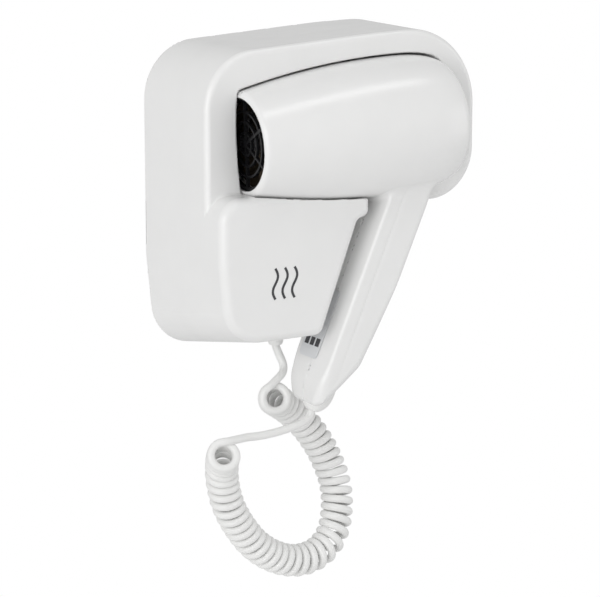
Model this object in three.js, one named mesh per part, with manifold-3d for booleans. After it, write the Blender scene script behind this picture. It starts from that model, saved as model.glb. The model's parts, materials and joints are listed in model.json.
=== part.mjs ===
// A wall-hung hair dryer: a holder screwed to the wall, a handset that rests in its trough, and the curly
// lead between them. Millimetres. +X is right seen from the front, +Y goes into the wall, +Z is up, and the
// origin is on the wall, midway between the wall plate's two keyholes and at the plate's mid height.
// "Depth" is the distance out from the wall, so a depth of 68 is y = -68.

import * as THREE from "three";
import { mergeVertices } from "three/addons/utils/BufferGeometryUtils.js";
import Module from "manifold-3d";

const wasm = await Module();
wasm.setup();

// ---------------------------------------------------------------- driving dimensions

const WALL = 2.6; // moulded wall of the holder's cover
const SHELL = 2.2; // moulded wall of the handset's shells
const GAP = 0.3; // clearance between pieces that touch

// Holder cover, as two blocks that grow out of one outline on the wall
const HOLDER_LEFT = -77.5;
const HOLDER_RIGHT = 99.7;
const HOLDER_BOTTOM = -88.2;
const UPPER_DEPTH = 68; // front face above the ledge
const PANEL_DEPTH = 84; // front face of the lower panel
const LEDGE_Z = 7; // top of the lower panel
const UPPER_EDGE = 3; // edge rounding of the upper front face
const PANEL_EDGE = 4;
const LEFT_DRAFT = 3 / 84; // how far the left wall leans in per millimetre of depth
const RIGHT_DRAFT = 2.5 / 68;
const PANEL_X_DRAFT = { scale: 0.095 / 84, shift: -4.36 / 84 };
const PANEL_Z_DRAFT = 0.178 / 84; // the underside rises towards the front

// Handset: its frame lies on the barrel's axis, which is tipped so that the nozzle is the low end
const HANDSET_AT = [9, -UPPER_DEPTH, 36.2];
const HANDSET_TILT = THREE.MathUtils.degToRad(2.4);
const NOZZLE_X = -63.3;
const NOZZLE_R = 28.2;
const NOZZLE_RIM = 2.8; // rounding of the nozzle's rim
const BARREL_R = 38.2;
const BARREL_WIDEST_X = 28;
const REAR_X = 65;
const REAR_R = 28;
const REAR_ROUNDNESS = 2.6; // exponent of the superellipse that forms the rear shoulder
const HANDLE_HALF_DEPTH = 19;
const HANDLE_EDGE = 3.2;
const TIP_REACH = 34; // how far from its tip the handle starts to thin
const TIP_THINNING = 0.3;
const TROUGH_CLEARANCE = 1.15;
const TROUGH_DOME = 1.3; // bulge of the trough's two ends
const SLOT_CLEARANCE = 2;

// Moving pieces
const SWITCH_TRAVEL = 9;

// Cord
const CORD_R = 2.25;
const COIL_R = 9.5;

// ---------------------------------------------------------------- materials

const plastic = (color, roughness) => new THREE.MeshStandardMaterial({ color, roughness, metalness: 0 });
const metal = (color, roughness) => new THREE.MeshStandardMaterial({ color, roughness, metalness: 1 });
const WHITE_ABS = plastic(0xf2f2f0, 0.28);
const GREY_ABS = plastic(0xc9cbcc, 0.45);
const BLACK_NYLON = plastic(0x111113, 0.5);
const WHITE_PVC = plastic(0xededeb, 0.4);
const MICA = plastic(0xb9a98a, 0.6);
const LABEL_FOIL = metal(0xc4c7cb, 0.42);
const STEEL = metal(0xb4b7ba, 0.35);
const COPPER_WIRE = metal(0x8d8f93, 0.4);

// ---------------------------------------------------------------- solids

// A closed geometry as a solid, turned right side out.
function solid(geometry) {
  const bare = geometry.clone();
  Object.keys(bare.attributes).forEach((name) => name !== "position" && bare.deleteAttribute(name));
  const merged = mergeVertices(bare, 1e-4);
  const build = (triVerts) =>
    new wasm.Manifold(
      new wasm.Mesh({ numProp: 3, vertProperties: merged.attributes.position.array, triVerts }),
    );
  const triVerts = new Uint32Array(merged.index.array);
  const made = build(triVerts);
  return made.volume() < 0 ? build(triVerts.reverse()) : made;
}

function geometryOf(shape) {
  const mesh = shape.getMesh();
  const geometry = new THREE.BufferGeometry();
  geometry.setAttribute("position", new THREE.BufferAttribute(mesh.vertProperties, 3));
  geometry.setIndex(new THREE.BufferAttribute(mesh.triVerts, 1));
  const flat = geometry.toNonIndexed();
  flat.computeVertexNormals();
  return flat;
}

const join = (...shapes) => shapes.reduce((whole, shape) => whole.add(shape));
const cut = (whole, ...tools) => tools.reduce((rest, tool) => rest.subtract(tool), whole);

function addPiece(parent, name, shape, material) {
  const mesh = new THREE.Mesh(geometryOf(shape), material);
  mesh.name = name;
  parent.add(mesh);
  return mesh;
}

// A box from its centre and its sizes.
function block(center, size) {
  return solid(new THREE.BoxGeometry(...size).translate(...center));
}

// A turned solid about the X, Y or Z axis through a point. The profile runs along the axis as
// [distance along the axis, radius] and starts and ends on the axis or closes on itself.
function turned(axis, center, profile, segments = 24) {
  const geometry = new THREE.LatheGeometry(
    profile.map(([along, radius]) => new THREE.Vector2(radius, along)),
    segments,
  );
  if (axis === "x") geometry.rotateZ(-Math.PI / 2);
  if (axis === "z") geometry.rotateX(Math.PI / 2);
  return solid(geometry.translate(...center));
}

const rod = (axis, center, from, to, radius, segments = 20) =>
  turned(axis, center, [[from, 0], [from, radius], [to, radius], [to, 0]], segments);

const ring = (axis, center, from, to, inner, outer, segments = 32) =>
  turned(axis, center, [[from, inner], [from, outer], [to, outer], [to, inner], [from, inner]], segments);

// A round tube along a smooth curve through the points.
function tube(points, radius, steps, sides = 8) {
  const curve = new THREE.CatmullRomCurve3(points.map((p) => new THREE.Vector3(...p)));
  return tubeAlong(curve, radius, steps, sides);
}

function tubeAlong(curve, radius, steps, sides = 8) {
  const section = new THREE.Shape();
  for (let i = 0; i <= sides; i++) {
    const angle = (i / sides) * 2 * Math.PI;
    const [x, y] = [radius * Math.cos(angle), radius * Math.sin(angle)];
    if (i === 0) section.moveTo(x, y);
    else if (i < sides) section.lineTo(x, y);
  }
  section.closePath();
  return solid(new THREE.ExtrudeGeometry(section, { steps, extrudePath: curve, curveSegments: 1 }));
}

// A helix about the Y or X axis, as a curve.
class Helix extends THREE.Curve {
  constructor(axis, center, radius, from, to, turns) {
    super();
    Object.assign(this, { axis, center, radius, from, to, turns });
  }

  getPoint(t, target = new THREE.Vector3()) {
    const angle = t * this.turns * 2 * Math.PI;
    const along = this.from + (this.to - this.from) * t;
    const [u, v] = [this.radius * Math.cos(angle), this.radius * Math.sin(angle)];
    const [cx, cy, cz] = this.center;
    if (this.axis === "x") return target.set(cx + along, cy + u, cz + v);
    return target.set(cx + u, cy + along, cz + v);
  }
}

// ---------------------------------------------------------------- rounded outlines and soft blocks

// The points of a polygon with rounded corners, drawn in by an inset. Corners are [x, z, radius, steps],
// counter-clockwise. Each corner gives the same number of points at every inset.
function roundedPoints(corners, inset = 0) {
  const count = corners.length;
  const place = corners.map(([x, z]) => new THREE.Vector2(x, z));
  const side = place.map((p, i) => place[(i + 1) % count].clone().sub(p).normalize());
  const leftOf = (d) => new THREE.Vector2(-d.y, d.x);
  const points = [];
  corners.forEach(([, , radius, steps = 3], i) => {
    const before = side[(i - 1 + count) % count];
    const after = side[i];
    const normals = leftOf(before).add(leftOf(after));
    const inward = normals.multiplyScalar(inset / (1 + leftOf(before).dot(leftOf(after))));
    const corner = place[i].clone().add(inward);
    const turn = before.cross(after) > 0 ? 1 : -1;
    const bend = Math.max(radius - turn * inset, 0.4);
    const angle = Math.acos(THREE.MathUtils.clamp(before.dot(after), -1, 1));
    const start = corner.clone().addScaledVector(before, -bend * Math.tan(angle / 2));
    const center = start.clone().addScaledVector(leftOf(before), turn * bend);
    const spoke = start.clone().sub(center);
    for (let k = 0; k <= steps; k++) {
      points.push(spoke.clone().rotateAround(new THREE.Vector2(), (turn * angle * k) / steps).add(center));
    }
  });
  return points;
}

// A block that stands out from the wall: at each layer's depth the outline is drawn in by that layer's inset.
function softBlock(corners, layers) {
  const base = roundedPoints(corners);
  const last = layers.length - 1;
  const geometry = new THREE.ExtrudeGeometry(new THREE.Shape(base), {
    depth: last,
    steps: last,
    bevelEnabled: false,
  });
  const rings = layers.map(([, inset]) => roundedPoints(corners, inset));
  const position = geometry.attributes.position;
  for (let i = 0; i < position.count; i++) {
    const here = new THREE.Vector2(position.getX(i), position.getY(i));
    const away = base.map((p) => p.distanceToSquared(here));
    const layer = Math.round(position.getZ(i));
    const point = rings[layer][away.indexOf(Math.min(...away))];
    position.setXYZ(i, point.x, -layers[layer][0], point.y);
  }
  return geometry;
}

// Layers of a block whose front edge is rounded, and its back edge too where backEdge is given.
function edgeLayers(back, front, frontEdge, backEdge = 0, inset = 0, steps = 3) {
  const arc = (radius, k) => {
    const angle = (k / steps) * (Math.PI / 2);
    return [radius * (1 - Math.sin(angle)), radius * (1 - Math.cos(angle))];
  };
  const layers = [];
  for (let k = 0; backEdge && k < steps; k++) {
    const [out, drop] = arc(backEdge, k);
    layers.push([back + drop, inset + out]);
  }
  layers.push([back + backEdge, inset], [front - frontEdge, inset]);
  for (let k = steps - 1; k >= 0; k--) {
    const [out, drop] = arc(frontEdge, k);
    layers.push([front - drop, inset + out]);
  }
  return layers;
}

function moveVertices(geometry, move) {
  const position = geometry.attributes.position;
  for (let i = 0; i < position.count; i++) {
    const [x, z] = move(position.getX(i), -position.getY(i), position.getZ(i));
    position.setX(i, x);
    position.setZ(i, z);
  }
  return geometry;
}

// ---------------------------------------------------------------- holder outlines

const UPPER_CORNERS = [
  [HOLDER_LEFT, 82.2, 32, 7],
  [HOLDER_LEFT, -30, 0.5, 1],
  [11, -30, 0.5, 1],
  [20, -7, 0.5, 1],
  [HOLDER_RIGHT, -7, 28.5, 7],
  [HOLDER_RIGHT, 89.7, 43.5, 8],
  [38.5, 89.4, 600, 3],
];

const PANEL_CORNERS = [
  [HOLDER_LEFT, LEDGE_Z, 14, 5],
  [HOLDER_LEFT, -35, 60, 2],
  [-72.5, HOLDER_BOTTOM, 26, 6],
  [-8, HOLDER_BOTTOM, 6, 3],
  [17.5, -13.5, 5, 2],
  [25.3, -10.5, 5, 3],
  [25.3, LEDGE_Z, 3, 2],
];

const draftUpper = (x, depth, z) => [
  x - depth * (x < 0 ? -LEFT_DRAFT * (x / HOLDER_LEFT) : RIGHT_DRAFT * (x / HOLDER_RIGHT)),
  z,
];
const draftPanel = (x, depth, z) => [
  x * (1 - PANEL_X_DRAFT.scale * depth) + PANEL_X_DRAFT.shift * depth,
  z < 0 ? z * (1 - PANEL_Z_DRAFT * depth) : z,
];

// The whole outside of the holder, or its hollow when drawn in by a wall's thickness.
function holderBody(inset) {
  const back = inset ? -5 : 0.4;
  const upper = softBlock(
    UPPER_CORNERS,
    edgeLayers(back, UPPER_DEPTH - inset, inset ? 0.5 : UPPER_EDGE, 0, inset, inset ? 1 : 3),
  );
  const panel = softBlock(
    PANEL_CORNERS,
    edgeLayers(back, PANEL_DEPTH - inset, inset ? 1.5 : PANEL_EDGE, 0, inset, inset ? 1 : 3),
  );
  return join(solid(moveVertices(upper, draftUpper)), solid(moveVertices(panel, draftPanel)));
}

// ---------------------------------------------------------------- handset outlines

// The barrel's radius along its axis: a parabola from the nozzle to the widest place, then a superellipse.
function barrelRadius(x) {
  if (x < BARREL_WIDEST_X) {
    const t = (BARREL_WIDEST_X - x) / (BARREL_WIDEST_X - NOZZLE_X);
    return BARREL_R - (BARREL_R - NOZZLE_R) * t * t;
  }
  const t = Math.min((x - BARREL_WIDEST_X) / (REAR_X - BARREL_WIDEST_X), 1);
  return REAR_R + (BARREL_R - REAR_R) * (1 - t ** REAR_ROUNDNESS) ** (1 / REAR_ROUNDNESS);
}

const BARREL_STATIONS = [-60.5, -50, -38, -24, -8, 10, 28, 40, 48, 54, 58.5, 61.5, 63.6, 64.7];

// The outside of the barrel, grown by an offset. A trough grown from it fits the nozzle's end more closely
// than its flank, because the handset slides out across its own length, and has gently domed ends.
function barrelBody(offset, dome = 0) {
  const rimStart = NOZZLE_X - Math.max(offset - 0.5, 0);
  const profile = [[rimStart - dome, 0]];
  if (dome) profile.push([rimStart - 0.7 * dome, 0.5 * NOZZLE_R]);
  profile.push([rimStart, NOZZLE_R - NOZZLE_RIM + offset * 0.4]);
  profile.push([rimStart + 0.8, NOZZLE_R - 0.3 * NOZZLE_RIM + offset * 0.8]);
  BARREL_STATIONS.forEach((x) => profile.push([x + (offset * x) / REAR_X, barrelRadius(x) + offset]));
  profile.push([REAR_X + offset, REAR_R + offset * 0.5], [REAR_X + offset + dome * 0.5, 0]);
  return turned("x", [0, 0, 0], profile, 36);
}

// The barrel's hollow, from just inside the nozzle's lip to just inside the rear lip.
function barrelHollow() {
  const [from, to] = [NOZZLE_X + 2.4, REAR_X - 2.2];
  const stations = [from, ...BARREL_STATIONS.filter((x) => x > from + 2 && x < to - 1), to];
  const profile = stations.map((x) => [x, barrelRadius(x) - SHELL]);
  return turned("x", [0, 0, 0], [[from, 0], ...profile, [to, 0]], 36);
}

const HANDLE_CORNERS = [
  [24.3, -25, 0.5, 1],
  [-29.8, -137.5, 30, 3],
  [-31.2, -154.6, 4, 4],
  [-1.2, -130.3, 14, 4],
  [22.4, -88.5, 90, 2],
  [46.1, -40.3, 80, 2],
  [52.5, -17.6, 0.5, 1],
  [31, -12, 0.5, 1],
];

// The handle thins in depth towards its tip like the nose of a boat: the space between two curved sheets
// that run across the handle, square to its left face.
function handleNose(inset) {
  const [top, bottom] = HANDLE_CORNERS;
  const up = new THREE.Vector3(top[0] - bottom[0], 0, top[1] - bottom[1]).normalize();
  const across = new THREE.Vector3(up.z, 0, -up.x);
  const steps = 6;
  const side = Array.from({ length: steps + 1 }, (_, i) => {
    const short = 1 - i / steps;
    return [TIP_REACH * (1 - short), HANDLE_HALF_DEPTH * (1 - TIP_THINNING * short * short) - inset];
  });
  const upper = [[-12, side[0][1]], ...side, [240, HANDLE_HALF_DEPTH - inset]];
  const lower = upper.map(([rise, half]) => [rise, -half]).reverse();
  const section = new THREE.Shape([...lower, ...upper].map(([rise, half]) => new THREE.Vector2(rise, half)));
  const sheet = new THREE.ExtrudeGeometry(section, { depth: 260, steps: 1, bevelEnabled: false });
  sheet.translate(0, 0, -130);
  const frame = new THREE.Matrix4().makeBasis(up, new THREE.Vector3(0, 1, 0), across);
  const tip = HANDLE_CORNERS[2];
  return solid(sheet.applyMatrix4(frame.setPosition(tip[0], 0, tip[1])));
}

function handleBody(inset) {
  const half = HANDLE_HALF_DEPTH - inset;
  const edge = Math.max(HANDLE_EDGE - inset, 1);
  const prism = solid(softBlock(HANDLE_CORNERS, edgeLayers(-half, half, edge, edge, inset)));
  return prism.intersect(handleNose(inset));
}

// The room that the handle needs in the holder, open towards the front.
function handleSlot(clearance) {
  const back = UPPER_DEPTH - HANDLE_HALF_DEPTH - clearance;
  const upright = HANDLE_CORNERS.map(([x, z, radius, steps]) => {
    const p = new THREE.Vector3(x, 0, z).applyMatrix4(handset.matrix);
    return [p.x, p.z, radius, steps];
  });
  return solid(softBlock(upright, [[back, -clearance], [PANEL_DEPTH + 30, -clearance]]));
}

// ---------------------------------------------------------------- the scene graph

const dryer = new THREE.Group();
const handset = new THREE.Group();
handset.position.set(...HANDSET_AT);
handset.rotation.y = -HANDSET_TILT;
handset.updateMatrix();
dryer.add(handset);

const inWorld = (shape) => shape.transform(handset.matrix.toArray());

// ---------------------------------------------------------------- holder

const PLUNGER_X = HANDSET_AT[0];
const PLUNGER_Z = HANDSET_AT[2];
const CORD_EXIT = [-19.6, -45, -80.5]; // the middle of the grommet's lower face
const COVER_SCREWS = [[-46, -9], [-22, -9]];
const COVER_SCREW_Z = -86.1; // the outer face of their countersunk heads
const KEYHOLES = [[-50, 55], [50, 55]];
const LOWER_HOLE = [-50, -45];
const MAINS_HOLE = [-22, 14, 8.5];

function keyhole([x, z]) {
  const neck = block([x, -1, z + 6], [4.6, 6, 10]);
  return join(rod("y", [x, 0, z], -4, 2, 4.5), neck, rod("y", [x, 0, z + 11], -4, 2, 2.3));
}

function wallPlate() {
  const inset = WALL + 0.7;
  const sheet = (corners) => solid(softBlock(corners, [[0, inset], [2.4, inset]]));
  const bosses = COVER_SCREWS.map(([x, y]) =>
    block([x, y, -77.4], [10, 15, 8]).subtract(rod("z", [x, y, 0], -90, -70, 1.7, 12)),
  );
  const rib = (x, z, width, height) => block([x, -4, z], [width, 4, height]);
  const [mainsX, mainsZ, mainsR] = MAINS_HOLE;
  return cut(
    join(
      sheet(UPPER_CORNERS),
      sheet(PANEL_CORNERS),
      ...bosses,
      rib(0, 72, 96, 2),
      rib(-69, 10, 2, 90),
      rib(PLUNGER_X - 13.4, PLUNGER_Z, 2, 14),
      rib(PLUNGER_X + 13.4, PLUNGER_Z, 2, 14),
    ),
    ...KEYHOLES.map(keyhole),
    rod("y", [LOWER_HOLE[0], 0, LOWER_HOLE[1]], -4, 2, 2.3),
    rod("y", [mainsX, 0, mainsZ], -4, 2, mainsR),
  );
}

function holderCover() {
  const trough = inWorld(barrelBody(TROUGH_CLEARANCE, TROUGH_DOME));
  const troughWall = inWorld(barrelBody(TROUGH_CLEARANCE + WALL, TROUGH_DOME));
  const hollow = cut(holderBody(WALL), troughWall, handleSlot(SLOT_CLEARANCE + WALL));
  const [exitX, exitY] = CORD_EXIT;
  const screwHoles = COVER_SCREWS.map(([x, y]) =>
    turned("z", [x, y, COVER_SCREW_Z], [[-6, 0], [-6, 3.4], [0.3, 3.4], [1.9, 1.8], [16, 1.8], [16, 0]], 16),
  );
  return cut(
    holderBody(0),
    trough,
    handleSlot(SLOT_CLEARANCE),
    hollow,
    rod("y", [PLUNGER_X, 0, PLUNGER_Z], -34, -22, 3.4),
    rod("z", [exitX, exitY, 0], -95, -68, 5.2),
    ...screwHoles,
  );
}

function addHolder() {
  addPiece(dryer, "wall_plate", wallPlate(), GREY_ABS);
  addPiece(dryer, "holder_cover", holderCover(), WHITE_ABS);
  COVER_SCREWS.forEach(([x, y], i) => {
    const profile = [[0, 0], [0, 3], [0.3, 3], [1.8, 1.4], [10.5, 1.4], [11.5, 0]];
    const screw = turned("z", [x, y, COVER_SCREW_Z], profile, 16);
    const slot = block([x, y, COVER_SCREW_Z], [4, 0.8, 1.2]);
    addPiece(dryer, `cover_screw_${i + 1}`, cut(screw, slot), STEEL);
  });
  const [mainsX, mainsZ, mainsR] = MAINS_HOLE;
  const fit = mainsR - GAP;
  const bush = [[-3.6, 5], [-3.6, 9.6], [-2.7, 9.6], [-2.7, fit], [-0.2, fit], [-0.2, 5], [-3.6, 5]];
  addPiece(dryer, "mains_bush", turned("y", [mainsX, 0, mainsZ], bush, 24), BLACK_NYLON);
  addTerminalBlock();
  addDockSwitch();
  addHolderCordExit();
}

function addTerminalBlock() {
  const [x, z] = [-46, -24];
  const clampScrew = (i) => [x - 11 + i * 11, z];
  const body = block([x, -8.8, z], [36, 12, 15]);
  const wells = [0, 1, 2].map((i) => rod("y", [clampScrew(i)[0], 0, z], -16, -9, 2.7, 16));
  const ports = [0, 1, 2].map((i) => rod("z", [clampScrew(i)[0], -6, 0], z - 10, z - 1, 1.9, 12));
  addPiece(dryer, "terminal_block", cut(body, ...wells, ...ports), plastic(0xe4e2d8, 0.5));
  [0, 1, 2].forEach((i) => {
    const screw = rod("y", [clampScrew(i)[0], 0, z], -13.4, -9.4, 2.3, 16);
    const slot = block([clampScrew(i)[0], -13.4, z], [5, 1.2, 0.7]);
    addPiece(dryer, `terminal_screw_${i + 1}`, cut(screw, slot), STEEL);
  });
}

// The switch that turns the handset off while it hangs: the barrel's back presses the plunger in.
function addDockSwitch() {
  const at = [PLUNGER_X, 0, PLUNGER_Z];
  const body = block([PLUNGER_X, -7.4, PLUNGER_Z], [24, 9.2, 9]);
  addPiece(dryer, "microswitch", join(body, rod("y", at, -13, -11.8, 1.1, 12)), BLACK_NYLON);
  const stem = [[-13.4, 0], [-13.4, 1.4], [-20, 1.4]];
  const pin = [...stem, [-20, 4.6], [-21.4, 4.6], [-21.4, 3], [-29.4, 3], [-30.2, 2.2], [-30.2, 0]];
  addPiece(dryer, "dock_plunger", turned("y", at, pin, 24), GREY_ABS);
  const coil = new Helix("y", at, 2.7, -12.8, -19.4, 4);
  addPiece(dryer, "plunger_spring", tubeAlong(coil, 0.35, 48, 6), STEEL);
}

function addHolderCordExit() {
  const [x, y, z] = CORD_EXIT;
  const bore = CORD_R + GAP;
  const outside = [[-4, 3.9], [0.8, 4.9], [5.4, 4.9], [5.4, 5.8], [7.2, 5.8], [7.2, 4.4], [16, 3.6]];
  const sleeve = [[-4, bore], ...outside, [16, bore], [-4, bore]];
  addPiece(dryer, "cord_grommet", turned("z", [x, y, z], sleeve, 24), WHITE_PVC);
}

// The lead inside the holder, from the grommet up to the terminal block.
function addHolderInnerLead() {
  const [x, y, z] = CORD_EXIT;
  const route = [
    [x, y, z + 16.4],
    [x - 1, y + 2, z + 22],
    [x - 8, y + 12, z + 31],
    [x - 18, y + 27, z + 38],
    [x - 25, y + 37, z + 42],
    [x - 27, y + 39, z + 47],
  ];
  addPiece(dryer, "holder_inner_lead", tube(route, 1.7, 20), WHITE_PVC);
}

// ---------------------------------------------------------------- handset shells

const EDGE_LEAN = Math.atan2(24, 48); // lean of the handle's rear edge, where the switch is
const SWITCH_AT = [35.4, 0, -61.8];
const BOOT_LEAN = THREE.MathUtils.degToRad(27.3);
const BOOT_AT = [-20.4, 0, -144.9];
const SHELL_SCREWS = [[9, -72], [-1, -92], [-10, -111]];
const NOZZLE_OPENING = 25.2;
const REAR_OPENING = 25.5;

const bootFrame = frameMatrix(BOOT_AT, BOOT_LEAN);
const switchFrame = frameMatrix(SWITCH_AT, EDGE_LEAN);

function frameMatrix([x, y, z], turn) {
  return new THREE.Matrix4().makeRotationY(turn).setPosition(x, y, z);
}

const placed = (shape, matrix) => shape.transform(matrix.toArray());

function handsetShells() {
  const whole = cut(
    join(barrelBody(0), handleBody(0)),
    join(barrelHollow(), handleBody(SHELL)),
    rod("x", [0, 0, 0], NOZZLE_X - 5, NOZZLE_X + 4, NOZZLE_OPENING, 36),
    rod("x", [0, 0, 0], REAR_X - 4, REAR_X + 5, REAR_OPENING, 36),
    placed(rod("z", [0, 0, 0], -12, 16.2, 3.6), bootFrame),
    placed(block([-2, 0, 0], [8, 6.2, 19.6]), switchFrame),
  );
  const half = (side) => block([0, side * (50 + GAP / 2), -50], [220, 100, 300]);
  const inner = HANDLE_HALF_DEPTH - 1.5;
  const room = handleBody(0.7);
  let front = whole.intersect(half(-1));
  let back = whole.intersect(half(1));
  SHELL_SCREWS.forEach(([x, z]) => {
    const post = rod("y", [x, 0, z], -inner, -GAP / 2, 3.9, 16).intersect(room);
    front = cut(join(front, post), rod("y", [x, 0, z], -12, 1, 1.5, 12));
    const pillar = rod("y", [x, 0, z], GAP / 2, inner, 4.5, 16).intersect(room);
    back = cut(
      join(back, pillar),
      rod("y", [x, 0, z], -1, 30, 1.7, 12),
      rod("y", [x, 0, z], 12, 30, 3.3, 16),
    );
  });
  return { front, back };
}

function addShells() {
  const { front, back } = handsetShells();
  addPiece(handset, "handset_front_shell", front, WHITE_ABS);
  addPiece(handset, "handset_back_shell", back, WHITE_ABS);
  SHELL_SCREWS.forEach(([x, z], i) => {
    const profile = [[-9, 0], [-8, 1.2], [12.3, 1.2], [12.3, 2.9], [14, 2.9], [14.6, 2], [14.6, 0]];
    const slot = join(block([x, 14.6, z], [4.2, 1.4, 0.7]), block([x, 14.6, z], [0.7, 1.4, 4.2]));
    addPiece(handset, `shell_screw_${i + 1}`, cut(turned("y", [x, 0, z], profile, 16), slot), STEEL);
  });
}

// Concentric rings held by spokes, in a disc across the barrel.
function ringGrille(from, to, rings, spokes, spokeWidth, hubR) {
  const reach = rings[0][1] - 0.8;
  const bars = Array.from({ length: spokes }, (_, i) => {
    const bar = new THREE.BoxGeometry(to - from, spokeWidth, reach).translate(0, 0, reach / 2);
    return solid(bar.rotateX((i / spokes) * 2 * Math.PI).translate((from + to) / 2, 0, 0));
  });
  const hoops = rings.map(([inner, outer], i) => ring("x", [0, 0, 0], from, to, inner, outer, i ? 24 : 36));
  return join(rod("x", [0, 0, 0], from, to, hubR, 16), ...bars, ...hoops);
}

function addGrilles() {
  const nozzleRings = [[23.4, 25.6], [17.2, 18.4], [11.4, 12.6], [5.6, 6.8]];
  const rearRings = [[22.8, 25.1], [18.6, 20], [14.4, 15.8], [10.2, 11.6]];
  const nozzle = ringGrille(-60.4, -58.6, nozzleRings, 6, 1.4, 2);
  const rear = ringGrille(REAR_X - 3.4, REAR_X - 0.6, rearRings, 8, 1.6, 7);
  addPiece(handset, "nozzle_grille", nozzle, BLACK_NYLON);
  addPiece(handset, "intake_grille", rear, WHITE_ABS);
}

// ---------------------------------------------------------------- heater, motor and fan

const HEATER_FROM = -52;
const HEATER_TO = 4;
const DUCT_INNER = 31.4;

function addHeater() {
  const length = HEATER_TO - HEATER_FROM;
  const middle = (HEATER_TO + HEATER_FROM) / 2;
  const sleeve = ring("x", [0, 0, 0], HEATER_FROM - 2, HEATER_TO + 2, 24.6, 25.4);
  addPiece(handset, "heater_sleeve", sleeve, MICA);
  const boards = join(block([middle, 0, 0], [length, 1.2, 40]), block([middle, 0, 0], [length, 40, 1.2]));
  addPiece(handset, "mica_cross", boards, MICA);
  const coil = new Helix("x", [0, 0, 0], 21.7, HEATER_FROM + 5, HEATER_TO - 7, 7);
  addPiece(handset, "heater_coil", tubeAlong(coil, 0.8, 98, 5), COPPER_WIRE);
  addPiece(handset, "thermostat", rod("x", [0, 0, 0], -57, -52.4, 5.5), STEEL);
  addPiece(handset, "thermal_fuse", rod("x", [0, 8, 8], -32, -20, 1.5, 12), STEEL);
}

function addMotorAndDuct() {
  const vanes = Array.from({ length: 6 }, (_, i) => {
    const vane = new THREE.BoxGeometry(13, 1.2, 18.4).rotateZ(0.35).translate(17, 0, 13.6 + 9.2);
    return solid(vane.rotateX((i / 6) * 2 * Math.PI));
  });
  const cup = ring("x", [0, 0, 0], 9.5, 27, 12.6, 14.2, 24);
  const duct = ring("x", [0, 0, 0], 8.2, 51, DUCT_INNER, 33, 36);
  addPiece(handset, "fan_duct", join(duct, cup, ...vanes), BLACK_NYLON);
  const can = [[6.2, 0], [6.2, 5], [8, 5], [8, 12.2], [29, 12.2], [29, 4], [31, 4], [31, 0]];
  addPiece(handset, "motor", turned("x", [0, 0, 0], can), STEEL);
}

function fanSolid() {
  const hub = [[33, 1.3], [33, 8.5], [42, 8.5], [44, 6.5], [45, 3], [45, 1.3], [33, 1.3]];
  const blades = Array.from({ length: 9 }, (_, i) => {
    const blade = new THREE.BoxGeometry(1.2, 13, 22.8, 1, 1, 4).translate(0, 0, 7.6 + 11.4);
    const position = blade.attributes.position;
    const spot = new THREE.Vector3();
    for (let k = 0; k < position.count; k++) {
      spot.fromBufferAttribute(position, k);
      const pitch = 1.05 - 0.02 * (30.4 - spot.z);
      spot.applyAxisAngle(new THREE.Vector3(0, 0, 1), pitch);
      position.setXYZ(k, spot.x, spot.y, spot.z);
    }
    return solid(blade.rotateX((i / 9) * 2 * Math.PI).translate(38.5, 0, 0));
  });
  const rim = ring("x", [0, 0, 0], 25, 52, 30.6, 45, 48);
  return cut(join(turned("x", [0, 0, 0], hub), ...blades), rim, rod("x", [0, 0, 0], 30, 48, 1.3, 12));
}

function addFan() {
  addPiece(handset, "fan", fanSolid(), BLACK_NYLON);
  addPiece(handset, "motor_shaft", rod("x", [0, 0, 0], 31.4, 46, 1, 12), STEEL);
}

// ---------------------------------------------------------------- switch, label, boot and leads

function addSwitch() {
  const frame = new THREE.Group();
  frame.position.set(...SWITCH_AT);
  frame.rotation.y = EDGE_LEAN;
  handset.add(frame);
  const rest = -SWITCH_TRAVEL / 2;
  const cap = softBlock(
    [[-2.8, -4.6, 1, 2], [2.8, -4.6, 1, 2], [2.8, 4.6, 1, 2], [-2.8, 4.6, 1, 2]],
    edgeLayers(-3, 1.8, 0.8, 0, 0, 2),
  );
  const grooves = [-3, -1.5, 0, 1.5, 3].map((z) => block([2, 0, z + rest], [1.4, 8, 0.6]));
  const knob = cut(
    join(
      solid(cap.rotateZ(Math.PI / 2).translate(0, 0, rest)),
      block([-3, 0, rest], [0.8, 11, 28]),
      block([-4.4, 0, rest], [2.4, 2, 3]),
    ),
    ...grooves,
  );
  addPiece(frame, "switch_knob", knob, WHITE_ABS);
  const tabs = [-9, -3.5, 2].map((z) => block([-19.5, 0, z], [4, 3, 1]));
  addPiece(frame, "switch_body", join(block([-12.2, 0, 0], [11.6, 12, 24]), ...tabs), BLACK_NYLON);
}

function addLabel() {
  const frame = new THREE.Group();
  frame.position.set(-14.9, 4.6, -106.5);
  frame.rotation.y = Math.PI + Math.atan2(54.1, 112.5);
  handset.add(frame);
  const [width, height] = [9.3, 20];
  const corners = [[-width, -height], [width, -height], [width, height], [-width, height]];
  const sheet = softBlock(corners.map(([x, z]) => [x, z, 2.5, 3]), [[GAP, 0], [GAP + 0.35, 0]]);
  addPiece(frame, "rating_label", solid(sheet.rotateZ(Math.PI / 2)), LABEL_FOIL);
}

function addBoot() {
  const bore = CORD_R + GAP;
  const dome = [[-10.4, bore], [-10.4, 3.2], [-9.6, 4.4], [-7.9, 6], [-5.4, 7.6], [-2.4, 8.5], [1.5, 8.8]];
  const collar = [...dome, [14, 8.8], [14, bore], [-10.4, bore]];
  const neck = [[-3, bore], [-3, 3.2], [16.5, 3.2], [16.5, 4.3], [18.5, 4.3], [18.5, bore], [-3, bore]];
  const boot = join(
    cut(placed(turned("z", [0, 0, 0], collar), bootFrame), handleBody(-GAP)),
    placed(turned("z", [0, 0, 0], neck), bootFrame),
  );
  addPiece(handset, "cord_boot", boot, WHITE_PVC);
}

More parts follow.
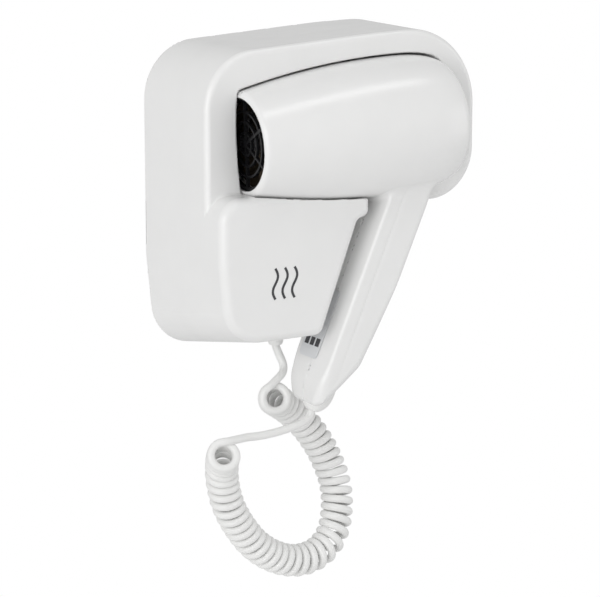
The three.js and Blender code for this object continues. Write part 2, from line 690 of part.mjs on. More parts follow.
function addHandsetLeads() {
  const main = [
    [-11.8, 0, -128.2], [-7.6, 0, -120.4], [2, 0, -112.5], [7.6, 0, -103], [12, 0, -92], [18.4, 0, -75.5],
  ];
  addPiece(handset, "handset_inner_lead", tube(main, 1.7, 20), WHITE_PVC);
  const heater = [
    [26.5, 0, -43.2], [25.4, 0, -37.4], [21, 0, -34.2], [13.5, 0, -34.2], [6.5, 0, -33.4], [-1, 2, -27.5],
  ];
  addPiece(handset, "heater_lead", tube(heater, 0.9, 18), plastic(0x9a1f1f, 0.5));
}

// ---------------------------------------------------------------- the free cord

const COIL_ROUTE = [
  [-27, -58, -111.9], [-22.7, -47.3, -115.1], [-14.8, -40.3, -119.5], [-6.6, -38, -125.2], [1.1, -37, -132.1],
  [8.1, -37.5, -140.3], [13.9, -39, -150.2], [18.8, -42, -162.7], [21.1, -45, -175.4], [19.3, -48, -186.3],
  [15.8, -50.5, -197.7], [9.9, -52.5, -204.6], [0, -54.5, -209], [-10.5, -55.5, -210], [-21.6, -56.5, -207.3],
  [-33.2, -57.5, -201], [-42.7, -58.5, -193.4], [-50.9, -59.5, -182.5], [-57.8, -60.5, -171.9],
  [-62, -61.5, -160.7], [-64.4, -63, -149.7], [-66.5, -67, -142.1], [-69.4, -74, -136.1], [-72.6, -81, -132.8],
];
const HOLDER_LEAD_ROUTE = [
  [-19.6, -45, -84.8], [-18.2, -46, -89.5], [-16.6, -48.4, -95.6], [-18, -51, -99], [-20.6, -53.2, -100.4],
];
const HANDSET_LEAD_ROUTE = [
  [-9.8, -68, -119.3], [-11.9, -68.3, -122.7], [-16.6, -69.3, -124.8], [-23.4, -70.6, -126],
  [-34.2, -72, -127.2], [-45.6, -73, -127.6], [-54, -74, -127],
];

function addCord() {
  addPiece(dryer, "cord_holder_lead", tube(HOLDER_LEAD_ROUTE, CORD_R, 12), WHITE_PVC);
  addPiece(dryer, "cord_coil", tube(COIL_ROUTE, COIL_R, 56, 12), WHITE_PVC);
  addPiece(dryer, "cord_handset_lead", tube(HANDSET_LEAD_ROUTE, CORD_R, 16), WHITE_PVC);
}

addHolder();
addHolderInnerLead();
addShells();
addGrilles();
addHeater();
addMotorAndDuct();
addFan();
addSwitch();
addLabel();
addBoot();
addHandsetLeads();
addCord();

export default dryer;
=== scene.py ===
import json
import math

import bpy
import numpy as np
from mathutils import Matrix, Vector


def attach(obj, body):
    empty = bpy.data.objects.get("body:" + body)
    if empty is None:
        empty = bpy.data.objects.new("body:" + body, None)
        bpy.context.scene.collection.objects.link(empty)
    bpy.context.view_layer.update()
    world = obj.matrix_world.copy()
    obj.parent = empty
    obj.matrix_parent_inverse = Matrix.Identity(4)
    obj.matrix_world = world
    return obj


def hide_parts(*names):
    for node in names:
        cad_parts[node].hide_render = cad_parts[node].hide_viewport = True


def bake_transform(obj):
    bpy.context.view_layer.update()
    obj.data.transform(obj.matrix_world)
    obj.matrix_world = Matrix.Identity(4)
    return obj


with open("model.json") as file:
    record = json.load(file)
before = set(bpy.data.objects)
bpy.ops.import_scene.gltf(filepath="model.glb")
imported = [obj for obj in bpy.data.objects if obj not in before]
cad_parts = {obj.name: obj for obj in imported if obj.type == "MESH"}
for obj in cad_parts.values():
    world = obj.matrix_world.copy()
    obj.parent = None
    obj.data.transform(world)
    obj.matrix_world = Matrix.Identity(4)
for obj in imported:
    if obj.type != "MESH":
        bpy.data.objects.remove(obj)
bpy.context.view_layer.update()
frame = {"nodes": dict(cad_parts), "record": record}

# All shapes below are worked out in millimetres and turned into metres when a mesh is made.
MM = 0.001

# ------------------------------------------------------------------ driving dimensions, as in the CAD

WALL = 2.6
SHELL = 2.2
GAP = 0.3
HOLDER_LEFT = -77.5
HOLDER_RIGHT = 99.7
UPPER_DEPTH = 68.0
PANEL_DEPTH = 84.0
TILT = math.radians(2.4)
HANDSET_AT = np.array([9.0, -68.0, 36.2])
NOZZLE_X = -63.3
BARREL_R = 38.2
WIDEST_X = 28.0
NOZZLE_R = 28.2
REAR_X = 65.0
REAR_R = 28.0
REAR_ROUNDNESS = 2.6
HANDLE_HALF_DEPTH = 19.0
TIP_REACH = 34.0
TIP_THINNING = 0.3
TROUGH_CLEARANCE = 1.15
TROUGH_DOME = 1.3
SLOT_CLEARANCE = 2.0
CORD_R = 2.25
COIL_R = 9.5

UPPER_CORNERS = [
    (HOLDER_LEFT, 82.2, 32),
    (HOLDER_LEFT, -30, 0.5),
    (11, -30, 0.5),
    (20, -7, 0.5),
    (HOLDER_RIGHT, -7, 28.5),
    (HOLDER_RIGHT, 89.7, 43.5),
    (38.5, 89.4, 600),
]
PANEL_CORNERS = [
    (HOLDER_LEFT, 7, 14),
    (HOLDER_LEFT, -35, 60),
    (-72.5, -88.2, 26),
    (-8, -88.2, 6),
    (17.5, -13.5, 5),
    (25.3, -10.5, 5),
    (25.3, 7, 3),
]
HANDLE_CORNERS = [
    (24.3, -25, 0.5),
    (-29.8, -137.5, 30),
    (-31.2, -154.6, 4),
    (-1.2, -130.3, 14),
    (22.4, -88.5, 90),
    (46.1, -40.3, 80),
    (52.5, -17.6, 0.5),
    (31, -12, 0.5),
]
HOLDER_LEAD = [
    (-19.6, -45, -80), (-19.6, -45, -84.8), (-18.2, -46, -89.5), (-16.6, -48.4, -95.6), (-18, -51, -99),
    (-20.6, -53.2, -100.4),
]
COIL_ROUTE = [
    (-27, -58, -111.9), (-22.7, -47.3, -115.1), (-14.8, -40.3, -119.5), (-6.6, -38, -125.2),
    (1.1, -37, -132.1), (8.1, -37.5, -140.3), (13.9, -39, -150.2), (18.8, -42, -162.7),
    (21.1, -45, -175.4), (19.3, -48, -186.3), (15.8, -50.5, -197.7), (9.9, -52.5, -204.6),
    (0, -54.5, -209), (-10.5, -55.5, -210), (-21.6, -56.5, -207.3), (-33.2, -57.5, -201),
    (-42.7, -58.5, -193.4), (-50.9, -59.5, -182.5), (-57.8, -60.5, -171.9), (-62, -61.5, -160.7),
    (-64.4, -63, -149.7), (-66.5, -67, -142.1), (-69.4, -74, -136.1), (-72.6, -81, -132.8),
]
HANDSET_LEAD = [
    (-7.4, -68, -113.9), (-9.8, -68, -119.3), (-11.9, -68.3, -122.7),
    (-16.6, -69.3, -124.8), (-23.4, -70.6, -126),
    (-34.2, -72, -127.2), (-45.6, -73, -127.6), (-54, -74, -127),
]

# ------------------------------------------------------------------ camera

AZIMUTH = math.radians(-30.5)
ELEVATION = math.radians(12)
AIM = Vector((22.88, 0, -71.3)) * MM
DISTANCE = 1.5


def add_camera():
    back = Vector(
        (
            math.sin(AZIMUTH) * math.cos(ELEVATION),
            -math.cos(AZIMUTH) * math.cos(ELEVATION),
            math.sin(ELEVATION),
        )
    )
    data = bpy.data.cameras.new("camera")
    data.lens = 154.8
    data.sensor_width = 36
    data.clip_start = 0.05
    data.clip_end = 50
    camera = bpy.data.objects.new("camera", data)
    bpy.context.collection.objects.link(camera)
    camera.location = AIM + back * DISTANCE
    camera.rotation_mode = "QUATERNION"
    camera.rotation_quaternion = (-back).to_track_quat("-Z", "Y")
    bpy.context.scene.camera = camera
    return back


back = add_camera()

# ------------------------------------------------------------------ meshes


def new_piece(name, verts, faces, normals=None):
    mesh = bpy.data.meshes.new(name)
    mesh.from_pydata((np.asarray(verts) * MM).tolist(), [], faces)
    mesh.update()
    mesh.shade_smooth()
    if normals is not None:
        mesh.normals_split_custom_set_from_vertices(normals.tolist())
    piece = bpy.data.objects.new(name, mesh)
    bpy.context.collection.objects.link(piece)
    return piece


def spline(points, spacing):
    """A smooth curve through the points, sampled about every spacing."""
    p = np.asarray(points, float)
    p = np.vstack([2 * p[0] - p[1], p, 2 * p[-1] - p[-2]])
    out = []
    for a, b, c, d in zip(p[:-3], p[1:-2], p[2:-1], p[3:]):
        steps = max(2, int(round(np.linalg.norm(c - b) / spacing)))
        t = np.linspace(0, 1, steps, endpoint=False)[:, None]
        out.append(
            0.5 * (2 * b + (c - a) * t + (2 * a - 5 * b + 4 * c - d) * t**2 + (3 * b - a - 3 * c + d) * t**3)
        )
    return np.vstack(out + [p[-2:-1]])


def resampled(points, spacing):
    steps = np.linalg.norm(np.diff(points, axis=0), axis=1)
    along = np.r_[0, np.cumsum(steps)]
    count = max(3, int(round(along[-1] / spacing)) + 1)
    at = np.linspace(0, along[-1], count)
    return np.stack([np.interp(at, along, points[:, k]) for k in range(3)], 1)


def relaxed(points, rounds):
    out = points.copy()
    for _ in range(rounds):
        out[1:-1] += 0.5 * ((out[:-2] + out[2:]) / 2 - out[1:-1])
    return out


def unit(v):
    return v / np.linalg.norm(v, axis=-1, keepdims=True)


def carried_frames(points, first):
    """Tangents and a pair of normals carried along the points without twist."""
    tangent = unit(np.gradient(points, axis=0))
    normal = np.empty_like(points)
    here = np.asarray(first, float)
    for i, t in enumerate(tangent):
        here = here - t * (here @ t)
        here = here / np.linalg.norm(here)
        normal[i] = here
    return tangent, normal, np.cross(tangent, normal)


def tube(name, points, radius, sides, closed_ends=True):
    """A mesh tube whose ring centres are the points."""
    _, normal, binormal = carried_frames(points, (0.31, 0.52, 0.8))
    angle = np.arange(sides) / sides * 2 * math.pi
    rings = points[:, None] + radius * (
        np.cos(angle)[None, :, None] * normal[:, None] + np.sin(angle)[None, :, None] * binormal[:, None]
    )
    faces = []
    for i in range(len(points) - 1):
        for k in range(sides):
            n = (k + 1) % sides
            faces.append((i * sides + k, i * sides + n, (i + 1) * sides + n, (i + 1) * sides + k))
    if closed_ends:
        faces.append(tuple(reversed(range(sides))))
        last = (len(points) - 1) * sides
        faces.append(tuple(range(last, last + sides)))
    return new_piece(name, rings.reshape(-1, 3), faces)


# ------------------------------------------------------------------ the curly lead

COIL_PITCH = 4.72  # on the inside of a bend, where the turns touch
PATH_STEP = 1.6


def angle_of(direction, normal, binormal):
    return math.atan2(direction @ binormal, direction @ normal)


def coil_path():
    axis = relaxed(resampled(spline(COIL_ROUTE, 0.5), 1.5), 40)
    axis = resampled(axis, 0.25)
    tangent, normal, binormal = carried_frames(axis, (0.0, 0.3, 1.0))
    radius = COIL_R - CORD_R
    smooth = relaxed(tangent, 400)
    bend = np.linalg.norm(np.gradient(smooth, axis=0), axis=1) / 0.25
    pitch = COIL_PITCH / (1 - radius * np.minimum(bend, 1 / 20))
    turn = np.cumsum(2 * math.pi / pitch) * 0.25
    start = angle_of(np.array([-0.5, -0.3, 1.0]), normal[0], binormal[0])
    end = angle_of(np.array([0.25, 0.1, 1.0]), normal[-1], binormal[-1])
    total = -(turn[-1] - turn[0])
    wanted = end - start
    total = wanted + 2 * math.pi * round((total - wanted) / (2 * math.pi))
    angle = start + total * (turn - turn[0]) / (turn[-1] - turn[0])
    helix = axis + radius * (np.cos(angle)[:, None] * normal + np.sin(angle)[:, None] * binormal)
    return helix


def cord_path():
    helix = resampled(coil_path(), PATH_STEP)
    first = spline(list(HOLDER_LEAD[:-1]) + [HOLDER_LEAD[-1]], 1.0)
    last = spline(list(reversed(HANDSET_LEAD)), 1.0)
    whole = np.vstack([first[:-1], spline([first[-2], first[-1], helix[0], helix[1]], 1.0)[2:-2], helix])
    whole = np.vstack([whole, spline([helix[-2], helix[-1], last[0], last[1]], 1.0)[2:-2], last])
    step = np.linalg.norm(np.diff(whole, axis=0), axis=1)
    whole = whole[np.r_[True, step > 0.05]]
    return resampled(relaxed(resampled(whole, 0.8), 3), PATH_STEP)


path = cord_path()
cord = tube("curly_lead", path, CORD_R, 12)
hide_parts("cord_coil", "cord_holder_lead", "cord_handset_lead")
# The line runs from the grommet's mouth to the boot's, so that each end of the lead stays on its body.
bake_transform(cord)

# ------------------------------------------------------------------ distance fields


def rotated(corners, tilt, offset):
    """Corners of the handset's frame in the holder's."""
    out = []
    for x, z, r in corners:
        out.append(
            (
                x * math.cos(tilt) - z * math.sin(tilt) + offset[0],
                x * math.sin(tilt) + z * math.cos(tilt) + offset[2],
                r,
            )
        )
    return out


def outline_pieces(corners):
    place = np.array([c[:2] for c in corners], float)
    side = unit(np.roll(place, -1, axis=0) - place)
    arcs = []
    for i, (_, _, radius) in enumerate(corners):
        before, after = side[i - 1], side[i]
        turn = 1 if before[0] * after[1] - before[1] * after[0] > 0 else -1
        angle = math.acos(max(-1, min(1, float(before @ after))))
        start = place[i] - before * radius * math.tan(angle / 2)
        end = place[i] + after * radius * math.tan(angle / 2)
        left = np.array([-before[1], before[0]])
        arcs.append((start, end, start + left * turn * radius, radius, turn))
    return arcs, side


def outline(corners, x, z):
    """Signed distance from a polygon with rounded corners, negative inside. Corners go counter-clockwise."""
    arcs, side = outline_pieces(corners)
    best = np.full(x.shape, 1e9)
    count = len(arcs)
    for i in range(count):
        start, end, centre, radius, turn = arcs[i]
        dx, dz = x - centre[0], z - centre[1]
        u0, u1 = start - centre, end - centre
        inside = (turn * (u0[0] * dz - u0[1] * dx) >= 0) & (turn * (dx * u1[1] - dz * u1[0]) >= 0)
        d = turn * (np.hypot(dx, dz) - radius)
        best = np.where(inside & (np.abs(d) < np.abs(best)), d, best)
        a, b, t = end, arcs[(i + 1) % count][0], side[i]
        dx, dz = x - a[0], z - a[1]
        along = dx * t[0] + dz * t[1]
        d = dx * t[1] - dz * t[0]
        inside = (along >= -1e-6) & (along <= (b - a) @ t + 1e-6)
        best = np.where(inside & (np.abs(d) < np.abs(best)), d, best)
    return best


def both(a, b, r=0.0):
    """Where a and b meet, with the edge rounded to a radius."""
    if np.isscalar(r) and r == 0:
        return np.maximum(a, b)
    return np.minimum(np.maximum(a, b), -r) + np.hypot(np.maximum(a + r, 0), np.maximum(b + r, 0))


def either(a, b, r=0.0):
    """a and b joined, with a fillet between them."""
    return -both(-a, -b, r)


def in_handset(p):
    d = p - HANDSET_AT
    x = d[:, 0] * math.cos(TILT) + d[:, 2] * math.sin(TILT)
    z = -d[:, 0] * math.sin(TILT) + d[:, 2] * math.cos(TILT)
    return x, d[:, 1], z


def from_handset(p):
    x = p[:, 0] * math.cos(TILT) - p[:, 2] * math.sin(TILT)
    z = p[:, 0] * math.sin(TILT) + p[:, 2] * math.cos(TILT)
    return np.stack([x, p[:, 1], z], 1) + HANDSET_AT


def barrel_side(x, r):
    """Distance from the barrel's flank and rear shoulder."""
    t = np.maximum(WIDEST_X - x, 0) / (WIDEST_X - NOZZLE_X)
    slope = 2 * (BARREL_R - NOZZLE_R) * t / (WIDEST_X - NOZZLE_X)
    flank = (r - (BARREL_R - (BARREL_R - NOZZLE_R) * t * t)) / np.hypot(1, slope)
    a, b = REAR_X - WIDEST_X, BARREL_R - REAR_R
    u = np.maximum((x - WIDEST_X) / a, 1e-6)
    v = np.maximum((r - REAR_R) / b, 1e-6)
    n = REAR_ROUNDNESS
    size = (u**n + v**n) ** (1 / n)
    steep = np.hypot((u / size) ** (n - 1) / a, (v / size) ** (n - 1) / b)
    shoulder = (size - 1) / steep
    return np.where(x < WIDEST_X, flank, np.where(r < REAR_R, x - REAR_X, shoulder))


def barrel(x, r, offset=0.0, rim=2.8):
    return both(barrel_side(x, r) - offset, NOZZLE_X - offset - x, rim)


def trough(p, offset):
    x, y, z = in_handset(p)
    r = np.hypot(y, z)
    dome = TROUGH_DOME * np.maximum(0, 1 - (r / 26) ** 2)
    end = NOZZLE_X + 0.5 - offset - dome - x
    return both(barrel_side(x - 0.012 * np.maximum(x, 0), r) - offset, end, 2.8)


def slot(p, offset):
    corners = rotated(HANDLE_CORNERS, TILT, HANDSET_AT)
    room = outline(corners, p[:, 0], p[:, 2]) - offset
    return both(room, UPPER_DEPTH - HANDLE_HALF_DEPTH - offset + p[:, 1], 2)


def rod(p, axis, centre, radius, low, high):
    """A round rod along an axis through a centre."""
    i, j = [k for k in range(3) if k != axis]
    r = np.hypot(p[:, i] - centre[i], p[:, j] - centre[j]) - radius
    return np.maximum(r, np.maximum(low - p[:, axis], p[:, axis] - high))


# ------------------------------------------------------------------ skins

CORNERS = np.array([(i, j, k) for i in (0, 1) for j in (0, 1) for k in (0, 1)])
EDGES = [(a, b) for a in range(8) for b in range(a + 1, 8) if np.abs(CORNERS[a] - CORNERS[b]).sum() == 1]


def gradient(field, p, eps):
    out = np.empty_like(p)
    for k in range(3):
        step = np.zeros(3)
        step[k] = eps
        out[:, k] = (field(p + step) - field(p - step)) / (2 * eps)
    return out


def sampled(field, low, step, blocks, size):
    """Field values on a grid. Only blocks near the surface are sampled finely."""
    at = np.stack(np.meshgrid(*[np.arange(n) for n in blocks], indexing="ij"), -1).reshape(-1, 3)
    middle = low + (at * size + (size - 1) / 2) * step
    rough = field(middle)
    reach = (0.87 * size + 1.5) * step * 1.3
    values = np.repeat(np.repeat(np.repeat(rough.reshape(blocks), size, 0), size, 1), size, 2)
    near = at[np.abs(rough) < reach]
    inner = np.stack(np.meshgrid(*[np.arange(size)] * 3, indexing="ij"), -1).reshape(-1, 3)
    for some in np.array_split(near, max(1, len(near) // 600)):
        index = (some[:, None] * size + inner[None]).reshape(-1, 3)
        values[index[:, 0], index[:, 1], index[:, 2]] = field(low + index * step)
    return values


def skin(name, field, low, high, step, shading=None):
    """A closed mesh of the surface where the field is 0, with normals from the field, or from the shading
    field where the surface lies on that."""
    low = np.asarray(low, float) - 2 * step
    size = 6
    blocks = tuple(int(math.ceil((h - l) / step / size)) + 1 for l, h in zip(low, high))
    values = sampled(field, low, step, blocks, size)
    inside = values < 0
    shape = [n - 1 for n in inside.shape]
    count = np.zeros(shape, int)
    for i, j, k in CORNERS:
        count += inside[i : i + shape[0], j : j + shape[1], k : k + shape[2]]
    cells = np.argwhere((count > 0) & (count < 8))
    number = np.full(shape, -1)
    number[cells[:, 0], cells[:, 1], cells[:, 2]] = np.arange(len(cells))
    corner = np.stack([values[tuple((cells + c).T)] for c in CORNERS], 1)
    total, hits = np.zeros((len(cells), 3)), np.zeros(len(cells))
    for a, b in EDGES:
        crossing = (corner[:, a] < 0) != (corner[:, b] < 0)
        t = corner[:, a] / np.where(crossing, corner[:, a] - corner[:, b], 1)
        t = np.clip(t, 0, 1)[:, None]
        spot = CORNERS[a] + (CORNERS[b] - CORNERS[a]) * t
        total += np.where(crossing[:, None], spot, 0)
        hits += crossing
    verts = low + (cells + total / hits[:, None]) * step
    for _ in range(2):
        slope = gradient(field, verts, 0.02)
        reach = field(verts) / np.maximum((slope**2).sum(1), 0.1)
        verts = verts - np.clip(reach, -step, step)[:, None] * slope
    normals = gradient(field, verts, 0.05)
    if shading is not None:
        smooth = np.abs(shading(verts)) < 0.06
        normals[smooth] = gradient(shading, verts[smooth], 0.05)
    normals = normals / np.maximum(np.linalg.norm(normals, axis=1, keepdims=True), 1e-9)
    faces = []
    for axis in range(3):
        u, v = (axis + 1) % 3, (axis + 2) % 3
        ahead = [slice(1, n) for n in shape]
        here = inside[tuple(ahead)]
        shifted = list(ahead)
        shifted[axis] = slice(2, shape[axis] + 1)
        change = here != inside[tuple(shifted)]
        at = np.argwhere(change) + 1
        solid = inside[tuple(at.T)]
        quad = []
        for du, dv in ((1, 1), (0, 1), (0, 0), (1, 0)):
            cell = at.copy()
            cell[:, u] -= du
            cell[:, v] -= dv
            quad.append(number[tuple(cell.T)])
        quad = np.stack(quad, 1)
        good = (quad >= 0).all(1)
        quad[~solid] = quad[~solid][:, ::-1]
        faces.append(quad[good])
    faces = np.vstack(faces)
    print(name, len(verts), "verts", len(faces), "faces")
    return new_piece(name, verts, faces.tolist(), normals)


# ------------------------------------------------------------------ holder cover

CORD_EXIT = np.array([-19.6, -45.0, -80.5])
COVER_SCREWS = [(-46.0, -9.0), (-22.0, -9.0)]
COVER_SCREW_Z = -86.1
UPPER_EDGE = 3.4
PANEL_EDGE = 5.0


def cover_outside(p):
    x, depth, z = p[:, 0], -p[:, 1], p[:, 2]
    side = np.where(x < 0, 3 / 84 / -HOLDER_LEFT, 2.5 / 68 / HOLDER_RIGHT)
    upper = both(outline(UPPER_CORNERS, x / (1 - side * depth), z), depth - UPPER_DEPTH, UPPER_EDGE)
    px = (x + 4.36 / 84 * depth) / (1 - 0.095 / 84 * depth)
    pz = np.where(z < 0, z / (1 - 0.178 / 84 * depth), z)
    panel = both(outline(PANEL_CORNERS, px, pz), depth - PANEL_DEPTH, PANEL_EDGE)
    from_left = x - HOLDER_LEFT - 3 / 84 * depth
    body = either(upper, panel, 1.6 * np.clip(from_left / 8 - 0.2, 0, 1))
    return both(both(body, -trough(p, TROUGH_CLEARANCE), 0.5), -slot(p, SLOT_CLEARANCE), 1.2)


def cover(p):
    outside = cover_outside(p)
    shell = both(both(outside, -(outside + WALL)), 0.4 + p[:, 1], 0.4)
    holes = rod(p, 1, (HANDSET_AT[0], 0, HANDSET_AT[2]), 3.4, -34, -22)
    holes = np.minimum(holes, rod(p, 2, CORD_EXIT, 5.2, -95, -68))
    for sx, sy in COVER_SCREWS:
        holes = np.minimum(holes, rod(p, 2, (sx, sy, 0), 1.8, -95, -70))
        holes = np.minimum(holes, rod(p, 2, (sx, sy, 0), 3.4, -95, COVER_SCREW_Z + 0.4))
    return both(shell, -holes, 0.3)


STEP = 1.1
holder_cover = skin("cover", cover, (-80, -86, -91), (104, 1, 92), STEP)
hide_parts("holder_cover")
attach(holder_cover, "holder")

# ------------------------------------------------------------------ handset shells

SHELL_SCREWS = [(9.0, -72.0), (-1.0, -92.0), (-10.0, -111.0)]
BOOT_AT = (-20.4, -144.9)
BOOT_LEAN = math.radians(27.3)
SWITCH_AT = (35.4, -61.8)
SWITCH_LEAN = math.atan2(24, 48)


def leaned(x, z, at, lean):
    """Coordinates in a frame that is turned about Y by the lean."""
    dx, dz = x - at[0], z - at[1]
    return dx * math.cos(lean) - dz * math.sin(lean), dx * math.sin(lean) + dz * math.cos(lean)


def above_underside(x, z):
    """Height above the line that the handle's underside follows."""
    (tip_x, tip_z, _), (heel_x, heel_z, _) = HANDLE_CORNERS[2:4]
    length = math.hypot(heel_x - tip_x, heel_z - tip_z)
    return ((z - tip_z) * (heel_x - tip_x) - (x - tip_x) * (heel_z - tip_z)) / length


def along_handle(x, z):
    """Distance up the handle from its tip, and distance across from its left face."""
    (x0, z0, _), (x1, z1, _), (tip_x, tip_z, _) = HANDLE_CORNERS[:3]
    length = math.hypot(x0 - x1, z0 - z1)
    ux, uz = (x0 - x1) / length, (z0 - z1) / length
    return (x - tip_x) * ux + (z - tip_z) * uz, (x - x0) * uz - (z - z0) * ux


def handle(x, y, z):
    """The handle: crisp on its left, rounder on its right, and softest at its thin tip."""
    up, across = along_handle(x, z)
    short = np.clip(1 - up / TIP_REACH, 0, 1)
    low = np.clip(1 - above_underside(x, z) / 22, 0, 1)
    half = HANDLE_HALF_DEPTH * (1 - TIP_THINNING * short**2)
    edge = 1.9 + 2.3 * np.clip(across / 12 - 0.4, 0, 1) + 4.5 * low**1.5 + 2 * short
    groove = 0.3 * np.exp(-(((across - 8.3) / 0.8) ** 2)) * (y < 0) * (1 - low)
    return both(outline(HANDLE_CORNERS, x, z), np.abs(y) - half + groove, edge)


def handset_whole(q):
    x, y, z = q[:, 0], q[:, 1], q[:, 2]
    r = np.hypot(y, z)
    outside = either(barrel(x, r), handle(x, y, z), 4.0)
    tunnel = both(barrel_side(x, r) + SHELL, both(NOZZLE_X + 2.4 - x, x - REAR_X + 2.2))
    grip = handle(x, y, z) + SHELL
    hollow = np.minimum(tunnel, grip)
    shell = both(outside, -hollow)
    mouth = np.maximum(r - 25.2, x - NOZZLE_X - 4)
    rear = np.maximum(r - 25.5, REAR_X - 4 - x)
    shell = both(both(shell, -mouth, 0.9), -rear, 0.9)
    bx, bz = leaned(x, z, BOOT_AT, BOOT_LEAN)
    shell = both(shell, -np.maximum(np.hypot(bx, y) - 3.6, bz - 16.2), 0.4)
    sx, sz = leaned(x, z, SWITCH_AT, SWITCH_LEAN)
    window = both(both(np.abs(y) - 3.1, np.abs(sz) - 9.8, 1.0), np.abs(sx + 2) - 4)
    return both(shell, -window, 0.4)


SEAM = 0.05  # half the hairline between the shells


def handset_skin(p):
    return handset_whole(np.stack(in_handset(p), 1))


def front_shell(p):
    q = np.stack(in_handset(p), 1)
    body = both(handset_whole(q), q[:, 1] + SEAM)
    room = handle(*q.T) + 0.7
    for sx, sz in SHELL_SCREWS:
        post = np.maximum(rod(q, 1, (sx, 0, sz), 3.9, -17.5, -GAP / 2), room)
        body = np.maximum(np.minimum(body, post), -rod(q, 1, (sx, 0, sz), 1.5, -12, 1))
    return body


def back_shell(p):
    q = np.stack(in_handset(p), 1)
    body = both(handset_whole(q), SEAM - q[:, 1])
    room = handle(*q.T) + 0.7
    for sx, sz in SHELL_SCREWS:
        pillar = np.maximum(rod(q, 1, (sx, 0, sz), 4.5, GAP / 2, 17.5), room)
        body = np.maximum(np.minimum(body, pillar), -rod(q, 1, (sx, 0, sz), 1.7, -1, 30))
        body = both(body, -rod(q, 1, (sx, 0, sz), 3.3, 12, 30), 0.3)
    return body


SHELL_STEP = 1.0
front = skin("front_shell", front_shell, (-62, -108, -125), (80, -67, 78), SHELL_STEP, handset_skin)
rear = skin("back_shell", back_shell, (-62, -69, -125), (80, -28, 78), SHELL_STEP, handset_skin)
for piece, node in ((front, "handset_front_shell"), (rear, "handset_back_shell")):
    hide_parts(node)
    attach(piece, "handset")

# ------------------------------------------------------------------ small pieces

BORE = CORD_R + GAP


def lathe(name, profile, place, segments=48):
    """A turned ring. The profile is a closed loop of [distance along the axis, radius], and place turns
    points of the piece's own frame into the model's."""
    count = len(profile)
    angle = np.arange(segments) / segments * 2 * math.pi
    along = np.array([a for a, _ in profile])
    radius = np.array([r for _, r in profile])
    verts = np.stack(
        [
            np.outer(np.cos(angle), radius),
            np.outer(np.sin(angle), radius),
            np.outer(np.ones(segments), along),
        ],
        -1,
    ).reshape(-1, 3)
    faces = []
    for i in range(segments):
        j = (i + 1) % segments
        for k in range(count):
            n = (k + 1) % count
            faces.append((i * count + k, j * count + k, j * count + n, i * count + n))
    piece = new_piece(name, place(verts), faces)
    piece.data.set_sharp_from_angle(angle=math.radians(38))
    return piece


def from_boot(p):
    x = BOOT_AT[0] + p[:, 0] * math.cos(BOOT_LEAN) + p[:, 2] * math.sin(BOOT_LEAN)
    z = BOOT_AT[1] - p[:, 0] * math.sin(BOOT_LEAN) + p[:, 2] * math.cos(BOOT_LEAN)
    return from_handset(np.stack([x, p[:, 1], z], 1))


def smooth_profile(points):
    curve = spline([(a, r, 0) for a, r in points], 0.5)
    return [(a, r) for a, r, _ in curve]


BOOT_CURVE = [
    (-10.4, 3.2), (-9.6, 4.4), (-7.9, 6), (-5.4, 7.6), (-2.4, 8.5),
    (1.5, 8.8), (5.6, 8.5), (10, 6.8), (13.5, 4.2),
]
boot = lathe("lead_boot", [(-10.4, BORE)] + smooth_profile(BOOT_CURVE) + [(15, BORE)], from_boot)
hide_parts("cord_boot")
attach(boot, "handset")

GROMMET_CURVE = [(-4, 3.4), (-3.7, 3.8), (-1.4, 4.5), (0.8, 4.9), (5.4, 4.9)]
GROMMET_FLANGE = [(5.4, 5.8), (7.2, 5.8), (7.2, 4.4), (16, 3.6), (16, BORE)]
grommet = lathe(
    "lead_grommet",
    [(-4, BORE)] + smooth_profile(GROMMET_CURVE) + GROMMET_FLANGE,
    lambda p: p + CORD_EXIT,
)
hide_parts("cord_grommet")
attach(grommet, "holder")


def ribbons(name, lines, half_width, origin, axes, thickness):
    """Flat printed strokes: each line is a list of (u, v) along the first two axes, and stands up by the
    thickness along the third."""
    u_axis, v_axis, up = [np.array(a, float) for a in axes]
    verts, faces = [], []
    for line in lines:
        points = np.array(line, float)
        tangent = unit(np.gradient(points, axis=0))
        normal = np.stack([-tangent[:, 1], tangent[:, 0]], 1)
        base = len(verts)
        for point, side in zip(points, normal):
            for offset in (-half_width, half_width):
                u, v = point + side * offset
                for height in (-0.1, thickness):
                    verts.append(origin + u * u_axis + v * v_axis + height * up)
        last = len(points) - 1
        for i in range(last):
            a, b = base + 4 * i, base + 4 * (i + 1)
            for k, n in ((1, 3), (3, 2), (2, 0), (0, 1)):
                faces.append((a + k, a + n, b + n, b + k))
        a, b = base, base + 4 * last
        faces.append((a, a + 2, a + 3, a + 1))
        faces.append((b, b + 1, b + 3, b + 2))
    piece = new_piece(name, verts, faces)
    piece.data.set_sharp_from_angle(angle=math.radians(38))
    return piece


SYMBOL_AT = (-36, -PANEL_DEPTH, -41)
WAVE_HEIGHT = 17.0
WAVE_SWING = 1.6
WAVE_SPACING = 6
STROKE = 1.4  # width of a printed line
INK_HEIGHT = 0.12
wave = np.linspace(-0.5, 0.5, 25)
waves = [
    [(dx + WAVE_SWING * math.sin(2 * math.pi * t), WAVE_HEIGHT * t) for t in wave]
    for dx in (-WAVE_SPACING, 0, WAVE_SPACING)
]
symbol = ribbons(
    "warm_air_symbol",
    waves,
    STROKE / 2,
    np.array(SYMBOL_AT),
    ((1, 0, 0), (0, 0, 1), (0, -1, 0)),
    INK_HEIGHT,
)
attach(symbol, "holder")

LABEL_AT = np.array([-14.9, 4.6, -106.5])
up_face = unit(np.array([54.1, 0, 112.5]))
off_face = np.array([-up_face[2], 0, up_face[0]])


def turned_with_handset(v):
    return from_handset(np.array([v]))[0] - HANDSET_AT


